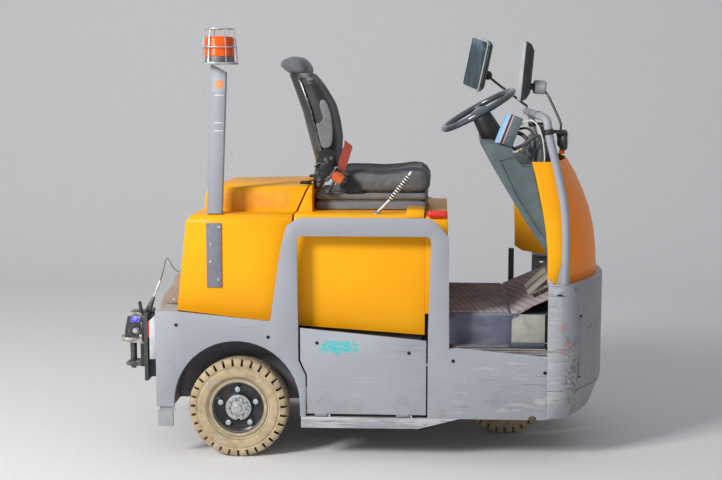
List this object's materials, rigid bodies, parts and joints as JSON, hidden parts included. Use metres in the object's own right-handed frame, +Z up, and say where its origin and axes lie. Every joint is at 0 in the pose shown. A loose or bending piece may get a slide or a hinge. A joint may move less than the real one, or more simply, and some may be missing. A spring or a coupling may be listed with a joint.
{
  "type": "airport baggage tug",
  "caption": "Seated three-wheel electric tow tractor with rear tow coupling, tilting seat hood, side battery doors, beacon pole, guard hoop and steered front wheel.",
  "frame": {"origin": "on the floor, at the middle of the vehicle's overall length and width", "axes": "+X to the front of the vehicle, +Y to its left side, +Z up"},
  "size_m": [2.166, 1, 1.7858],
  "materials": {
    "grey_paint": "satin, scuffed",
    "bracket_grey": "satin",
    "dark_steel": "matt, dusty",
    "cast_black": "rough, dusty",
    "primer_brown": "matt, dusty",
    "lamp_grey": "satin",
    "lens_red": "clear red",
    "lens_amber": "clear amber",
    "yellow_paint": "gloss, slightly faded",
    "bright_steel": "zinc plated",
    "battery_case": "satin",
    "motor_black": "satin",
    "mat_rubber": "ribbed, dusty",
    "worn_steel": "worn",
    "red_plastic": "satin",
    "dash_plastic": "fine grain",
    "box_plastic": "satin",
    "black_plastic": "satin",
    "rim_black": "gloss, dusty",
    "dusty_tyre": "dusty beige rubber",
    "seat_plastic": "folded bellows",
    "seat_fabric": "matt imitation leather",
    "belt_orange": "woven webbing"
  },
  "bodies": {
    "chassis": {"side_plate_right": "grey_paint", "side_plate_left": "grey_paint", "rear_wall": "grey_paint", "door_rails": "grey_paint", "beacon_pole": "grey_paint", "front_bumper": "grey_paint", "front_skirt": "grey_paint", "guard_hoop": "grey_paint", "pole_bracket": "bracket_grey", "arch_liners": "dark_steel", "chassis_frame": "dark_steel", "coupling_plate": "dark_steel", "rear_axle": "dark_steel", "side_post": "dark_steel", "platform": "dark_steel", "toe_board": "dark_steel", "tow_coupling": "cast_black", "tail_console": "primer_brown", "lamp_housings": "lamp_grey", "beacon_base": "lamp_grey", "tail_lenses": "lens_red", "beacon_lens": "lens_amber", "rear_hood": "yellow_paint", "hood_sides": "yellow_paint", "knee_panel": "yellow_paint", "front_cowl": "yellow_paint", "beacon_cage": "bright_steel", "coupling_pin": "bright_steel", "release_rod": "bright_steel", "battery_block": "battery_case", "drive_motor": "motor_black", "floor_mat": "mat_rubber", "pedals": "worn_steel", "stop_handle": "red_plastic", "dashboard": "dash_plastic", "terminal_box": "box_plastic", "steering_column": "black_plastic", "mirrors": "black_plastic", "head_lamps": "black_plastic"},
    "wheel_right": {"rim_right": "rim_black", "tyre_right": "dusty_tyre", "hub_right": "bright_steel"},
    "wheel_left": {"rim_left": "rim_black", "tyre_left": "dusty_tyre", "hub_left": "bright_steel"},
    "steering": {"steer_fork": "dark_steel"},
    "front_wheel": {"front_rim": "rim_black", "front_tyre": "dusty_tyre"},
    "hand_wheel": {"steering_wheel": "black_plastic"},
    "lid": {"seat_hood": "yellow_paint", "seat_base": "seat_plastic", "seat_cushion": "seat_fabric", "seat_back": "seat_fabric", "belt_retractors": "belt_orange", "parking_lever": "bright_steel"},
    "door_right": {"battery_door_right": "grey_paint"},
    "door_left": {"battery_door_left": "grey_paint"}
  },
  "joints": [
    {"name": "wheel_right_roll", "type": "hinge", "parent": "chassis", "child": "wheel_right", "pos_m": [-0.471, -0.435, 0.209], "axis": [0, 1, 0], "continuous": true},
    {"name": "wheel_left_roll", "type": "hinge", "parent": "chassis", "child": "wheel_left", "pos_m": [-0.471, 0.435, 0.209], "axis": [0, 1, 0], "continuous": true},
    {"name": "steer_turn", "type": "hinge", "parent": "chassis", "child": "steering", "pos_m": [0.665, 0, 0.45], "axis": [0, 0, 1], "range_deg": [-75, 75]},
    {"name": "front_roll", "type": "hinge", "parent": "steering", "child": "front_wheel", "pos_m": [0.665, 0, 0.209], "axis": [0, 1, 0], "continuous": true},
    {"name": "hand_wheel_turn", "type": "hinge", "parent": "chassis", "child": "hand_wheel", "pos_m": [0.534, 0, 1.444], "axis": [-0.4848, -0.0686, 0.8719], "range_deg": [-360, 360]},
    {"name": "lid_lift", "type": "hinge", "parent": "chassis", "child": "lid", "pos_m": [-0.178, 0, 1.14], "axis": [0, -1, 0], "range_deg": [0, 60]},
    {"name": "door_right_drop", "type": "hinge", "parent": "chassis", "child": "door_right", "pos_m": [0.05, -0.493, 0.19], "axis": [1, 0, 0], "range_deg": [0, 90]},
    {"name": "door_left_drop", "type": "hinge", "parent": "chassis", "child": "door_left", "pos_m": [0.05, 0.493, 0.19], "axis": [-1, 0, 0], "range_deg": [0, 90]}
  ],
  "couplings": [
    {"joint": "hand_wheel_turn", "follows": "steer_turn", "ratio": 4.8}
  ]
}
